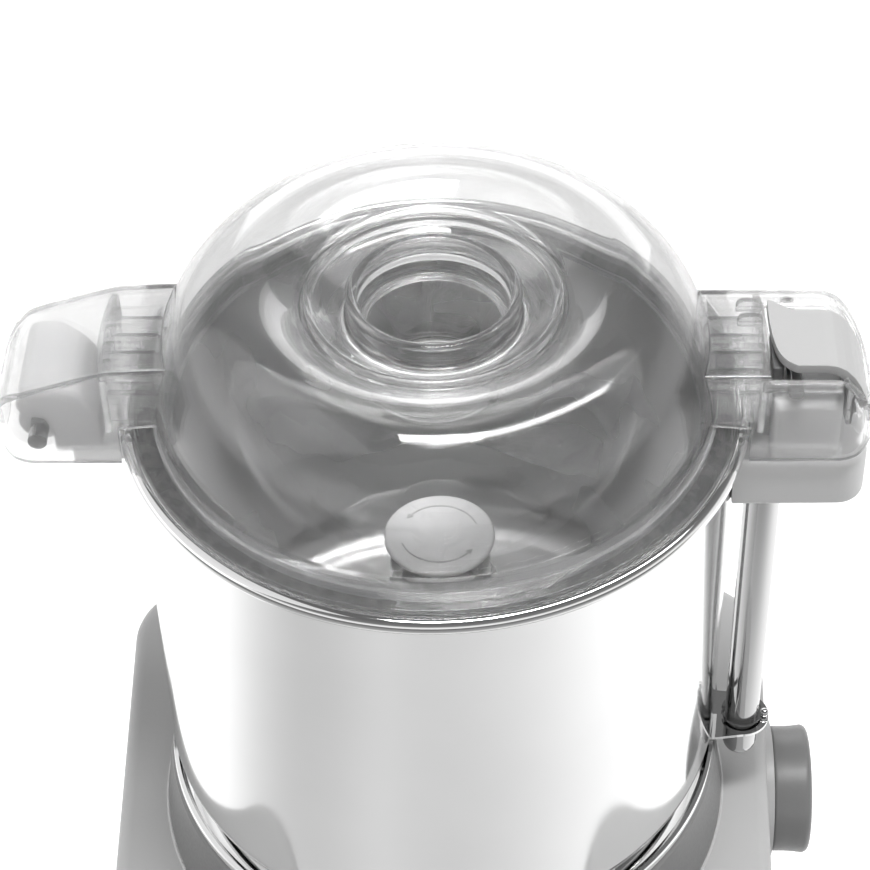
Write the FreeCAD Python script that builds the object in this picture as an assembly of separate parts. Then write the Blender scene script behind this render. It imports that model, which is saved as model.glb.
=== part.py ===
"""Tabletop cutter mixer: steel bowl with a clear hinged lid on a motor base.

Frame: millimetres, +Z up, origin on the drive axis at the floor. +X points to the
latch side, -Y to the side that is seen first. Every height is built up from the floor.
"""
import FreeCAD, Part
import math
import os

V = FreeCAD.Vector
os.makedirs("parts", exist_ok=True)

# driving dimensions, each group beside the pieces that follow it
# base
foot_height = 12.0
foot_radius = 12.0
base_height = 217.0
pedestal_bottom_radius = 100.0
base_side_margin = 14.0
base_front_half_width = pedestal_bottom_radius + base_side_margin
base_rear_flare = 7.0
base_rear_half_width = base_front_half_width + base_rear_flare
base_depth_margin = 2.0
base_half_depth = pedestal_bottom_radius - base_depth_margin
base_draft = 4.0
base_corner_rear = 28.0
base_corner_front = 32.0
base_edge_round = 5.0
base_wall = 4.0
base_top_wall = 7.0
plate_thickness = 3.0
pedestal_height = 30.0
pedestal_taper = 3.5
pedestal_top_radius = pedestal_bottom_radius - pedestal_taper
pedestal_wall = 5.0
# motor and drive
shaft_radius = 9.0
running_gap = 0.05
drive_radius = 8.0
drive_flat = 6.2
stator_radius = 56.0
stator_height = 88.0
rotor_radius = 34.0
air_gap = 0.6
bell_wall = 5.0
bearing_radius = 20.0
bearing_height = 12.0
fan_radius = 46.0
fan_height = 13.0
fan_blades = 9
# bowl
pedestal_flare = 5.0
bowl_radius = pedestal_bottom_radius - pedestal_flare
bowl_depth = 162.5
sheet = 1.2
bowl_corner = 18.0
bead_radius = 2.8
bead_offset = 1.5
chimney_radius = 14.0
chimney_height = 66.0
foot_ring_height = 4.0
foot_ring_lip = 1.0
foot_ring_radius = bowl_radius + foot_ring_lip
# blades
cap_overhang = 1.4
hub_skirt_gap = 1.6
hub_wall = 1.6
cap_drop = 67.0
cap_height = 3.2
cap_edge = 1.0
blade_gap = 7.8
lower_blade_angle = 75.0
upper_blade_angle = -15.0
blade_thickness = 2.5
lower_blade_lift = 5.0
upper_blade_rise = 24.0
collar_height = 7.0
# lid
lid_wall = 2.6
dome_step = 7.0
dome_radius = bowl_radius - dome_step
dome_shoulder = 32.0
crest_radius = dome_radius - dome_shoulder
crest_height = 47.0
recess_radius = 40.5
recess_height = 39.5
well_radius = 36.6
well_height = 31.0
lip_overhang = 0.8
lip_radius = bowl_radius + lip_overhang
lip_height = 2.2
lid_gap = 0.3
skirt_depth = 9.0
seal_height = 5.0
# wings of the lid
wing_overhang = 42.2
wing_reach = bowl_radius + wing_overhang
wing_half_width = 21.0
wing_wall = 2.5
wing_drop = 13.0
wing_top = 26.0
trough_width = 6.0
wing_inner = bowl_radius + trough_width
wing_corner = 13.0
rib_count = 5
rib_thickness = 1.8
# hinge
hinge_inset = 14.2
hinge_x = hinge_inset - wing_reach
hinge_drop = 3.0
pin_radius = 3.0
# handles
handle_half_width = 15.5
handle_edge_round = 2.0
block_half_width = 18.5
block_height = 20.0
block_inset = 1.2
block_reach = wing_reach - block_inset
catch_inset = 10.7
catch_reach = wing_reach - catch_inset
catch_top = 9.0
neck_drop = 7.2
# latch
lever_gap = 1.0
lever_left = wing_inner + wing_wall + lever_gap
pin_inset = 6.0
latch_pin_x = lever_left + pin_inset
latch_pin_height = 17.5
pin_cover = 4.1
latch_pin_radius = 2.5
lever_thickness = 3.2
lever_front = -17.0
lever_back = 13.0
lever_bend = 11.2
lever_cut_radius = 12.5
hook_thickness = 3.5
hook_gap = 1.0
hook_width = 10.0
hook_drop = 7.0
# funnel
spout_radius = 27.0
spout_height = 42.0
funnel_wall = 2.0
funnel_low_radius = 17.8
funnel_low_height = 6.0
funnel_ledge = 3.2
funnel_flange_radius = 36.0
funnel_cone_radius = 32.0
# safety rod
rod_radius = 6.0
rod_clearance = 0.3
rod_below_bowl = 14.0
rod_length = bowl_depth + rod_below_bowl
bracket_thickness = 1.2
clip_radius = 7.2
clip_height = 1.2
bracket_margin = 3.6
bracket_flare = 1.3
# knob
knob_y = 22.0
knob_below_top = 35.0
knob_radius = 24.0
knob_thickness = 14.0
bezel_radius = 26.0
bezel_thickness = 1.5
spindle_radius = 3.0
# cable gland
gland_radius = 9.0
gland_bore = 4.5
gland_z = 45.0
gland_x = 60.0
gland_recess = 14.0

# derived places
base_top = foot_height + base_height
seat = base_top + pedestal_height
rim = seat + bowl_depth + 0.5
bowl_floor = seat + 2.0
bead_centre_r = bowl_radius + bead_offset
bead_centre_z = rim - bead_radius
bead_outer = bead_centre_r + bead_radius
chimney_top = bowl_floor + chimney_height
cap_top = rim - cap_drop
bore_r = chimney_radius + hub_skirt_gap
hub_outer = bore_r + hub_wall
cap_radius = hub_outer + cap_overhang
blade_reach = bowl_radius - sheet - blade_gap
shaft_top = cap_top - cap_height - 5.0
lid_low = rim + lid_gap
hinge_z = rim - hinge_drop
rod_x = bead_outer + rod_clearance + rod_radius
rod_top = rim + 0.1
rod_tip = rod_top - rod_length
knob_z = base_top - knob_below_top
stator_low = foot_height + 50.0
stator_high = stator_low + stator_height


# helpers
def save(name, shape):
    """Write one piece to its own file."""
    solids = shape.Solids
    shape = solids[0] if len(solids) == 1 else Part.makeCompound(solids)
    shape.exportStep("parts/" + name + ".step")


def wire_rz(start, steps):
    """Closed wire in the XZ plane: each step is a point, or a middle and an end point of an arc."""
    edges = []
    here = V(start[0], 0, start[1])
    for step in steps + [start]:
        if len(step) == 4:
            middle = V(step[0], 0, step[1])
            end = V(step[2], 0, step[3])
            edges.append(Part.Arc(here, middle, end).toShape())
        else:
            end = V(step[0], 0, step[1])
            if (end - here).Length < 1e-6:
                continue
            edges.append(Part.makeLine(here, end))
        here = end
    return Part.Wire(edges)


def turn(start, steps):
    """Solid of revolution about the Z axis."""
    face = Part.Face(wire_rz(start, steps))
    return face.revolve(V(0, 0, 0), V(0, 0, 1), 360)


def slab_y(start, steps, y_low, y_high):
    """Solid with an outline in the XZ plane between two Y values."""
    face = Part.Face(wire_rz(start, steps))
    face.translate(V(0, y_low, 0))
    return face.extrude(V(0, y_high - y_low, 0))


def ring(r_in, r_out, z_low, z_high, x=0.0, y=0.0):
    """Upright tube."""
    body = Part.makeCylinder(r_out, z_high - z_low, V(x, y, z_low))
    if r_in > 0:
        body = body.cut(Part.makeCylinder(r_in, z_high - z_low + 2, V(x, y, z_low - 1)))
    return body


def rod_y(radius, x, z, y_low, y_high):
    """Round bar along Y."""
    return Part.makeCylinder(radius, y_high - y_low, V(x, y_low, z), V(0, 1, 0))


def rod_along_x(radius, y, z, x_low, x_high):
    """Round bar along X."""
    return Part.makeCylinder(radius, x_high - x_low, V(x_low, y, z), V(1, 0, 0))


def box(x0, x1, y0, y1, z0, z1):
    """Box between two corners."""
    return Part.makeBox(x1 - x0, y1 - y0, z1 - z0, V(x0, y0, z0))


def polar(r, degrees, z=0.0):
    """Point at a radius and an angle about Z."""
    a = math.radians(degrees)
    return V(r * math.cos(a), r * math.sin(a), z)


def round_edges(shape, radius, test):
    """Fillet the edges whose middle passes the test."""
    chosen = []
    for edge in shape.Edges:
        middle = edge.valueAt((edge.FirstParameter + edge.LastParameter) / 2)
        if test(edge, middle):
            chosen.append(edge)
    return shape.makeFillet(radius, chosen)


def base_outline(inset, z, grow):
    """Rounded trapezoid of the base in plan, wider at the back."""
    rear = base_rear_half_width + grow - inset
    front = base_front_half_width + grow - inset
    depth = base_half_depth + grow - inset
    corner_rear = base_corner_rear - inset
    corner_front = base_corner_front - inset
    corners = [(front, -depth, corner_front), (rear, depth, corner_rear),
               (-rear, depth, corner_rear), (-front, -depth, corner_front)]
    edges = []
    count = len(corners)
    arcs = []
    for i in range(count):
        x, y, r = corners[i]
        here = V(x, y, z)
        before = V(corners[i - 1][0], corners[i - 1][1], z)
        after = V(corners[(i + 1) % count][0], corners[(i + 1) % count][1], z)
        to_before = (before - here).normalize()
        to_after = (after - here).normalize()
        half = to_before.getAngle(to_after) / 2
        reach = r / math.tan(half)
        start = here + to_before * reach
        end = here + to_after * reach
        centre = here + (to_before + to_after).normalize() * (r / math.sin(half))
        middle = centre + (here - centre).normalize() * r
        arcs.append((start, middle, end))
    for i in range(count):
        start, middle, end = arcs[i]
        edges.append(Part.Arc(start, middle, end).toShape())
        edges.append(Part.makeLine(end, arcs[(i + 1) % count][0]))
    return Part.Wire(edges)


def wall_x(y, z):
    """X of the right side wall's outer face at a height and a depth."""
    low = base_draft * (base_top - z) / base_height
    slope = (base_rear_half_width - base_front_half_width) / (2 * base_half_depth)
    middle = (base_rear_half_width + base_front_half_width) / 2
    return middle + slope * y + low


# base
outer = Part.makeLoft([base_outline(0, foot_height, base_draft),
                       base_outline(0, base_top, 0)], True, True)
outer = round_edges(outer, base_edge_round,
                    lambda e, m: abs(m.z - base_top) < 0.01)
inner = Part.makeLoft([base_outline(base_wall, foot_height - 1, base_draft),
                       base_outline(base_wall, base_top - base_top_wall, 0)], True, True)
housing = outer.cut(inner)
shaft_hole = shaft_radius + 12.0
housing = housing.cut(ring(0, shaft_hole, base_top - base_top_wall - 1, base_top + 1))
# knob seat and spindle hole in the right wall
knob_wall = wall_x(knob_y, knob_z)
housing = housing.cut(rod_along_x(spindle_radius + 4.0, knob_y, knob_z, knob_wall - 20, knob_wall + 20))
# recess for the cable gland in the rear wall
gland_face = base_half_depth - gland_recess
pocket = box(gland_x - 16, gland_x + 16, gland_face, base_half_depth + 10, gland_z - 16, gland_z + 16)
pocket_wall = box(gland_x - 19, gland_x + 19, gland_face - 3, base_half_depth - 0.5,
                  gland_z - 19, gland_z + 19)
housing = housing.fuse(pocket_wall)
housing = housing.cut(pocket)
housing = housing.cut(Part.makeCylinder(gland_bore + 2.5, 10, V(gland_x, gland_face - 5, gland_z), V(0, 1, 0)))
# vent slots in the rear wall
vent_count = 7
vent_pitch = 9.0
for i in range(vent_count):
    x = (i - (vent_count - 1) / 2) * vent_pitch - 40.0
    housing = housing.cut(box(x - 2, x + 2, base_half_depth - 12, base_half_depth + 8,
                              foot_height + 40, foot_height + 95))
save("base_housing", housing.removeSplitter())

plate = Part.Face(base_outline(base_wall + 0.3, foot_height, base_draft)).extrude(V(0, 0, plate_thickness))
foot_x = base_front_half_width - 24.0
foot_y = base_half_depth - 26.0
foot_places = [(foot_x, foot_y), (foot_x, -foot_y), (-foot_x, foot_y), (-foot_x, -foot_y)]
screw_radius = 2.5
for x, y in foot_places:
    plate = plate.cut(Part.makeCylinder(screw_radius + 0.2, plate_thickness + 2, V(x, y, foot_height - 1)))
save("base_plate", plate)

feet = []
screws = []
for x, y in foot_places:
    foot = Part.makeCone(foot_radius - 2, foot_radius, foot_height, V(x, y, 0))
    foot = foot.cut(Part.makeCylinder(5.0, 4.0, V(x, y, 0)))
    foot = foot.cut(Part.makeCylinder(screw_radius + 0.2, foot_height + 1, V(x, y, 0)))
    feet.append(foot)
    screw = Part.makeCylinder(4.5, 2.5, V(x, y, 1.5))
    screw = screw.fuse(Part.makeCylinder(screw_radius, foot_height + plate_thickness + 2.5, V(x, y, 1.5)))
    screws.append(screw)
save("rubber_feet", Part.makeCompound(feet))
save("foot_screws", Part.makeCompound(screws))

# dark seat under the bowl
spigot_outer = bowl_radius - bowl_corner + 4.0
deck = 5.0
seal_radius = 17.0
pedestal = turn((pedestal_bottom_radius, base_top),
                [(pedestal_bottom_radius, base_top + 3),
                 (pedestal_top_radius, seat - 2),
                 (pedestal_top_radius - 1.5, seat),
                 (seal_radius, seat),
                 (seal_radius, seat - deck),
                 (pedestal_top_radius - pedestal_wall, seat - deck),
                 (pedestal_bottom_radius - pedestal_wall - 3, base_top)])
seal_hub = ring(seal_radius, seal_radius + 4, seat - 13.0, seat - deck + 0.5)
pedestal = pedestal.fuse(seal_hub)
save("pedestal_ring", pedestal.removeSplitter())

# motor
bell_radius = stator_radius + bell_wall + 1.0
upper_bell = turn((shaft_radius + 3.0, stator_high),
                  [(stator_radius + 1, stator_high),
                   (stator_radius + 1, stator_high - 8),
                   (bell_radius, stator_high - 8),
                   (bell_radius, base_top - base_top_wall - 4),
                   (bell_radius + 10, base_top - base_top_wall - 4),
                   (bell_radius + 10, base_top - base_top_wall),
                   (bell_radius - 4, base_top - base_top_wall),
                   (bell_radius - 4, stator_high + 6),
                   (bearing_radius + 4, stator_high + 6),
                   (bearing_radius + 4, stator_high + 4 + bearing_height),
                   (bearing_radius, stator_high + 4 + bearing_height),
                   (bearing_radius, stator_high + 4),
                   (shaft_radius + 3.0, stator_high + 4)])
for i in range(4):
    window = box(bell_radius - 12, bell_radius + 5, -22, 22, stator_high + 14, base_top - base_top_wall - 10)
    window.rotate(V(0, 0, 0), V(0, 0, 1), 45 + 90 * i)
    upper_bell = upper_bell.cut(window)
save("motor_upper_bell", upper_bell)

lower_bell = turn((bearing_radius + 4, stator_low - 22),
                  [(bearing_radius + 4, stator_low - 8),
                   (stator_radius + 1, stator_low - 8),
                   (bell_radius, stator_low - 4),
                   (bell_radius, stator_low + 8),
                   (stator_radius + 1, stator_low + 8),
                   (stator_radius + 1, stator_low),
                   (rotor_radius + 4, stator_low),
                   (rotor_radius + 4, stator_low - 4),
                   (shaft_radius + 3.0, stator_low - 4),
                   (shaft_radius + 3.0, stator_low - 10),
                   (bearing_radius, stator_low - 10),
                   (bearing_radius, stator_low - 22)])
save("motor_lower_bell", lower_bell)

stator = ring(rotor_radius + air_gap, stator_radius, stator_low, stator_high)
for i in range(12):
    tie = box(stator_radius - 2.5, stator_radius + 2, -3, 3, stator_low + 10, stator_high - 10)
    tie.rotate(V(0, 0, 0), V(0, 0, 1), 30 * i)
    stator = stator.cut(tie)
save("motor_stator", stator)

rotor = ring(shaft_radius, rotor_radius, stator_low + 6, stator_high - 6)
save("motor_rotor", rotor)

save("upper_bearing", ring(shaft_radius + running_gap, bearing_radius,
                           stator_high + 4, stator_high + 4 + bearing_height))
save("lower_bearing", ring(shaft_radius + running_gap, bearing_radius,
                           stator_low - 22, stator_low - 10))
save("shaft_seal", ring(shaft_radius + running_gap, seal_radius, seat - 10, seat - 1))

fan_low = foot_height + plate_thickness + 5.0
fan_disc = ring(shaft_radius, fan_radius, fan_low, fan_low + 2)
fan = fan_disc.fuse(ring(shaft_radius, shaft_radius + 5, fan_low, fan_low + fan_height))
for i in range(fan_blades):
    vane = box(shaft_radius + 3, fan_radius - 1, -0.9, 0.9, fan_low + 1, fan_low + fan_height)
    vane.rotate(V(shaft_radius + 3, 0, 0), V(0, 0, 1), 22)
    vane.rotate(V(0, 0, 0), V(0, 0, 1), i * 360.0 / fan_blades)
    fan = fan.fuse(vane)
save("cooling_fan", fan.removeSplitter())

shaft = Part.makeCylinder(shaft_radius, chimney_top - 14 - fan_low + 2, V(0, 0, fan_low - 2))
tip = Part.makeCylinder(drive_radius, shaft_top - chimney_top + 14, V(0, 0, chimney_top - 14))
flat = box(drive_flat, drive_radius + 2, -10, 10, chimney_top - 14, shaft_top + 1)
flat_two = box(-drive_radius - 2, -drive_flat, -10, 10, chimney_top - 14, shaft_top + 1)
tip = tip.cut(flat).cut(flat_two)
shaft = shaft.fuse(tip)
save("drive_shaft", shaft.removeSplitter())

# knob and switch
bezel = rod_along_x(bezel_radius, knob_y, knob_z, knob_wall - 3, knob_wall + bezel_thickness + 1)
bezel = bezel.cut(rod_along_x(spindle_radius + 0.1, knob_y, knob_z, knob_wall - 20, knob_wall + 20))
bezel = bezel.cut(outer)
save("knob_bezel", bezel)
knob_face = knob_wall + bezel_thickness + 1.3
knob = rod_along_x(knob_radius, knob_y, knob_z, knob_face, knob_face + knob_thickness)
knob = round_edges(knob, 2.0, lambda e, m: abs(m.x - knob_face - knob_thickness) < 0.01)
grip = box(knob_face + knob_thickness - 2.0, knob_face + knob_thickness + 1, knob_y - 1.2, knob_y + 1.2,
           knob_z + 6, knob_z + knob_radius + 1)
knob = knob.cut(grip)
knob = knob.fuse(rod_along_x(spindle_radius, knob_y, knob_z, knob_wall - 22, knob_face + 1))
save("control_knob", knob.removeSplitter())
switch_face = knob_wall - base_wall - 4.0
switch = box(switch_face - 22, switch_face, knob_y - 17, knob_y + 17, knob_z - 17, knob_z + 17)
switch = switch.cut(rod_along_x(spindle_radius + 0.1, knob_y, knob_z, knob_wall - 23, knob_wall + 20))
mount_tube = rod_along_x(spindle_radius + 3.5, knob_y, knob_z, switch_face - 1, knob_wall - 3)
mount_tube = mount_tube.cut(rod_along_x(spindle_radius + 0.1, knob_y, knob_z, knob_wall - 23, knob_wall + 20))
switch = switch.fuse(mount_tube)
save("switch_body", switch.removeSplitter())

# magnet switch under the housing's top, below the tip of the rod
reed_x = rod_x - 6.0
save("interlock_switch", box(reed_x - 9, reed_x + 9, -14, 14,
                             base_top - base_top_wall - 9, base_top - base_top_wall))

gland = Part.makeCylinder(gland_radius, 7, V(gland_x, gland_face, gland_z), V(0, 1, 0))
gland = gland.fuse(Part.makeCylinder(gland_bore + 2.5, 10, V(gland_x, gland_face - 8, gland_z), V(0, 1, 0)))
gland = gland.cut(Part.makeCylinder(gland_bore, 20, V(gland_x, gland_face - 10, gland_z), V(0, 1, 0)))
save("cable_gland", gland.removeSplitter())

# bowl
inner_r = bowl_radius - sheet
corner_z = bowl_floor + bowl_corner
diag = math.sqrt(0.5)
bowl = turn((chimney_radius, bowl_floor),
            [(bowl_radius - bowl_corner, bowl_floor),
             (bowl_radius - bowl_corner + bowl_corner * diag, corner_z - bowl_corner * diag,
              bowl_radius, corner_z),
             (bowl_radius, bead_centre_z),
             (inner_r, bead_centre_z),
             (inner_r, corner_z),
             (bowl_radius - bowl_corner + (bowl_corner - sheet) * diag,
              corner_z - (bowl_corner - sheet) * diag,
              bowl_radius - bowl_corner, bowl_floor + sheet),
             (chimney_radius, bowl_floor + sheet)])
bead = Part.makeTorus(bead_centre_r, bead_radius, V(0, 0, bead_centre_z), V(0, 0, 1))
bowl = bowl.fuse(bead).removeSplitter()
bowl_outer = turn((0, bowl_floor),
                  [(bowl_radius - bowl_corner, bowl_floor),
                   (bowl_radius - bowl_corner + bowl_corner * diag, corner_z - bowl_corner * diag,
                    bowl_radius, corner_z),
                   (bowl_radius, rim + 10),
                   (0, rim + 10)])
save("bowl_shell", bowl)
save("bowl_chimney", ring(chimney_radius - sheet, chimney_radius, bowl_floor, chimney_top))

foot_ring = turn((foot_ring_radius, seat),
                 [(foot_ring_radius, seat + foot_ring_height - 1.5),
                  (foot_ring_radius - 1.5, seat + foot_ring_height),
                  (spigot_outer - 6, seat + foot_ring_height),
                  (spigot_outer - 6, seat)])
foot_ring = foot_ring.cut(bowl_outer)
save("bowl_foot_ring", foot_ring.Solids[0])

# left handle: a neck on the bowl, a hump inside the left wing, a knuckle on the pin
hump_radius = 17.4
knuckle_radius = 7.5
sweep_radius = 15.0
handle_low = rim - 15.5
neck_top = rim - neck_drop
neck_reach = wing_inner + 10.0
block = box(-neck_reach, -bowl_radius + 12, -handle_half_width, handle_half_width, handle_low, neck_top)
block = block.fuse(box(hinge_x + 8, wing_inner * -1 - 5.0, -handle_half_width, handle_half_width,
                       handle_low, hinge_z + 2))
hump = rod_y(hump_radius, hinge_x, hinge_z, -handle_half_width, handle_half_width)
hump = round_edges(hump, handle_edge_round, lambda e, m: abs(abs(m.y) - handle_half_width) < 0.01)
hump = hump.cut(box(hinge_x - 40, hinge_x, -40, 40, hinge_z - 40, hinge_z + 40).cut(
    box(hinge_x - 3.5, hinge_x + 1, -40, 40, hinge_z, hinge_z + 40)))
hump = hump.cut(box(hinge_x - 1, hinge_x + 40, -40, 40, hinge_z - 40, hinge_z - 2))
left_handle = block.fuse(hump)
sweep = rod_y(sweep_radius, hinge_x, hinge_z, -40, 40)
below = box(hinge_x - 30, hinge_x + 30, -40, 40, hinge_z - 40, hinge_z)
below.rotate(V(hinge_x, 0, hinge_z), V(0, 1, 0), 18)
left_handle = left_handle.cut(sweep.common(below))
knuckle = rod_y(knuckle_radius, hinge_x, hinge_z, -handle_half_width, handle_half_width)
left_handle = left_handle.fuse(knuckle)
left_handle = left_handle.cut(rod_y(pin_radius + running_gap, hinge_x, hinge_z, -40, 40))
left_handle = left_handle.cut(bowl_outer)
save("left_handle", left_handle.removeSplitter())

# right handle: the grip block under the wing and the catch inside it
def rounded_block(x_high, half, z_low, z_high, corner):
    """Block from the bowl outward with rounded outer corners in plan."""
    body = box(bowl_radius - 12, x_high, -half, half, z_low, z_high)
    return round_edges(body, corner,
                       lambda e, m: abs(m.x - x_high) < 0.01 and abs(abs(m.y) - half) < 0.01)


block_top = rim - wing_drop - 0.6
grip_block = rounded_block(block_reach, block_half_width, block_top - block_height, block_top, 9.0)
grip_block = round_edges(grip_block, handle_edge_round,
                         lambda e, m: abs(m.z - block_top + block_height) < 0.01 and m.x > bowl_radius + 5)
catch = rounded_block(catch_reach, handle_half_width, block_top, rim + catch_top, 3.0)
catch = round_edges(catch, 1.5, lambda e, m: abs(m.z - rim - catch_top) < 0.01 and m.x > bowl_radius + 5)
over_rim = box(bowl_radius - 20, wing_inner + wing_wall + 0.8, -40, 40, neck_top, rim + 60)
catch = catch.cut(over_rim)
rod_pocket = box(bowl_radius - 20, rod_x + rod_radius + 1.5, -rod_radius - 2, rod_radius + 2, neck_top, rim + 60)
catch = catch.cut(rod_pocket)
right_handle = grip_block.fuse(catch)
rod_bore = Part.makeCylinder(rod_radius + running_gap, rod_length, V(rod_x, 0, rod_tip + block_height))
right_handle = right_handle.cut(rod_bore)
right_handle = right_handle.cut(bowl_outer)
save("right_handle", right_handle.removeSplitter())

# bent plate that guides the rod near its tip
bracket_z = seat + foot_ring_height
bracket_round = rod_radius + bracket_margin
bracket_root_half = bracket_round + bracket_flare
bracket_plan = [V(bowl_radius - 12, -bracket_root_half, bracket_z),
                V(bowl_radius + 1, -bracket_root_half, bracket_z),
                V(rod_x, -bracket_round, bracket_z),
                V(rod_x, bracket_round, bracket_z),
                V(bowl_radius + 1, bracket_root_half, bracket_z),
                V(bowl_radius - 12, bracket_root_half, bracket_z)]
bracket = Part.Face(Part.makePolygon(bracket_plan + [bracket_plan[0]])).extrude(V(0, 0, bracket_thickness))
bracket = bracket.fuse(Part.makeCylinder(bracket_round, bracket_thickness, V(rod_x, 0, bracket_z)))
tab = box(bowl_radius - 2, bowl_radius + bracket_thickness, -bracket_root_half, bracket_root_half,
          bracket_z, bracket_z + 14)
tab = tab.common(ring(bowl_radius, bowl_radius + bracket_thickness, bracket_z, bracket_z + 14))
bracket = bracket.fuse(tab)
bracket = bracket.cut(bowl_outer)
bracket = bracket.cut(Part.makeCylinder(rod_radius + running_gap, 60, V(rod_x, 0, bracket_z - 20)))
save("rod_bracket", bracket.removeSplitter())

# safety rod
rod = Part.makeCylinder(rod_radius, rod_length - rod_radius, V(rod_x, 0, rod_tip + rod_radius))
rod = rod.fuse(Part.makeSphere(rod_radius, V(rod_x, 0, rod_tip + rod_radius)))
save("safety_rod", rod.removeSplitter())
clip_z = bracket_z + bracket_thickness + 1.0
clip = ring(rod_radius, clip_radius, clip_z, clip_z + clip_height, rod_x)
clip = clip.cut(box(rod_x - 20, rod_x, -1.5, 1.5, clip_z - 1, clip_z + clip_height + 1))
clip = clip.fuse(Part.makeSphere(1.6, V(rod_x + clip_radius + 0.8, -0.8, clip_z + clip_height / 2)))
save("rod_clip", clip.removeSplitter())

# knife
hub_low = bowl_floor + sheet + 1.2
hub = turn((bore_r, hub_low),
           [(hub_outer, hub_low),
            (hub_outer, cap_top - cap_height - 8),
            (hub_outer - 1.0, cap_top - cap_height),
            (0, cap_top - cap_height),
            (0, chimney_top + 3),
            (bore_r, chimney_top + 3)])
socket = Part.makeCylinder(drive_radius + running_gap, shaft_top - chimney_top + 1, V(0, 0, chimney_top - 1))
socket = socket.cut(box(drive_flat + running_gap, drive_radius + 2, -10, 10, chimney_top - 2, shaft_top + 2))
socket = socket.cut(box(-drive_radius - 2, -drive_flat - running_gap, -10, 10, chimney_top - 2, shaft_top + 2))
hub = hub.cut(socket)
save("blade_hub", hub.removeSplitter())

cap = turn((0, cap_top - cap_height),
           [(hub_outer, cap_top - cap_height),
            (cap_radius, cap_top - cap_edge - 0.6),
            (cap_radius, cap_top - cap_edge),
            (cap_radius - cap_edge * (1 - diag), cap_top - cap_edge * (1 - diag),
             cap_radius - cap_edge, cap_top),
            (0, cap_top)])
save("hub_cap", cap)


def sickle(z, angle, reach, collar):
    """Two swept arms on a collar round the hub, sharp on the leading side."""
    sleeve = hub_outer
    body = ring(sleeve, sleeve + 4.0, z - collar / 2, z + collar / 2)
    for turn_by in (0, 180):
        root_back = polar(sleeve + 1, -28)
        root_front = polar(sleeve + 1, 38)
        back_mid = polar(reach * 0.62, -12)
        front_mid = polar(reach * 0.60, 22)
        tip_back = polar(reach, 18)
        tip_front = polar(reach - 5, 28)
        edges = [Part.Arc(root_back, back_mid, tip_back).toShape(),
                 Part.makeLine(tip_back, tip_front),
                 Part.Arc(tip_front, front_mid, root_front).toShape(),
                 Part.makeLine(root_front, root_back)]
        arm = Part.Face(Part.Wire(edges)).extrude(V(0, 0, blade_thickness))
        edge_side = None
        for e in arm.Edges:
            m = e.valueAt((e.FirstParameter + e.LastParameter) / 2)
            if m.z > blade_thickness - 0.01 and (m - V(front_mid.x, front_mid.y, blade_thickness)).Length < 3.0:
                edge_side = e
        if edge_side is not None:
            arm = arm.makeChamfer(blade_thickness * 0.8, [edge_side])
        arm.translate(V(0, 0, z - blade_thickness / 2))
        arm.rotate(V(0, 0, 0), V(0, 0, 1), angle + turn_by)
        body = body.fuse(arm)
    return body.cut(Part.makeCylinder(sleeve + 0.02, 4 * collar, V(0, 0, z - 2 * collar))).removeSplitter()


lower_z = hub_low + lower_blade_lift
upper_z = lower_z + upper_blade_rise
save("lower_blade", sickle(lower_z, lower_blade_angle, blade_reach - 4.0, collar_height))
save("upper_blade", sickle(upper_z, upper_blade_angle, blade_reach, collar_height))

# lid
def ellipse_points(inset, count):
    """Points on the quarter ellipse between the dome's side and its crest."""
    side = dome_radius - inset
    start = rim + lip_height + 1.5
    crest_z = rim + crest_height - inset
    out = []
    for i in range(count + 1):
        a = math.pi / 2 * i / count
        out.append(V(crest_radius + (side - crest_radius) * math.cos(a), 0,
                     start + (crest_z - start) * math.sin(a)))
    return out


def spline(points, first=None, last=None):
    """Smooth edge through points, with tangents at its ends."""
    curve = Part.BSplineCurve()
    if first is None:
        curve.interpolate(points)
    else:
        curve.interpolate(Points=points, InitialTangent=first, FinalTangent=last)
    return curve.toShape()


out_pts = ellipse_points(0, 6)
in_pts = ellipse_points(lid_wall, 6)
dip_out = V(recess_radius, 0, rim + recess_height)
dip_in = V(recess_radius - 0.6, 0, rim + recess_height - lid_wall)
well_top = rim + well_height
edges = []
p = [V(lip_radius, 0, lid_low), V(lip_radius, 0, rim + lip_height), V(dome_radius, 0, rim + lip_height),
     out_pts[0]]
for a, b in zip(p, p[1:]):
    edges.append(Part.makeLine(a, b))
edges.append(spline(out_pts, V(0, 0, 1), V(-1, 0, 0)))
crest_out = out_pts[-1]
edges.append(spline([crest_out, V((crest_out.x + dip_out.x) / 2, 0, (crest_out.z + dip_out.z) / 2 + 1.0), dip_out],
                    V(-1, 0, 0), V(-1, 0, -1.6)))
q = [dip_out, V(well_radius, 0, well_top + 3), V(well_radius, 0, well_top),
     V(funnel_cone_radius + 0.8, 0, well_top), V(funnel_cone_radius + 0.8, 0, well_top - 2.5),
     V(well_radius + lid_wall, 0, well_top - 2.5), V(well_radius + lid_wall, 0, well_top + 2), dip_in]
for a, b in zip(q, q[1:]):
    edges.append(Part.makeLine(a, b))
crest_in = in_pts[-1]
edges.append(spline([dip_in, V((crest_in.x + dip_in.x) / 2, 0, (crest_in.z + dip_in.z) / 2 + 1.0), crest_in],
                    V(1, 0, 1.6), V(1, 0, 0)))
edges.append(spline(list(reversed(in_pts)), V(1, 0, 0), V(0, 0, -1)))
skirt_in = dome_radius - lid_wall
w = [in_pts[0], V(skirt_in, 0, rim - skirt_depth), V(dome_radius + 2, 0, rim - skirt_depth),
     V(dome_radius + 2, 0, rim - skirt_depth + 1.6), V(dome_radius, 0, rim - skirt_depth + 1.6),
     V(dome_radius, 0, lid_low), V(lip_radius, 0, lid_low)]
for a, b in zip(w, w[1:]):
    edges.append(Part.makeLine(a, b))
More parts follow.
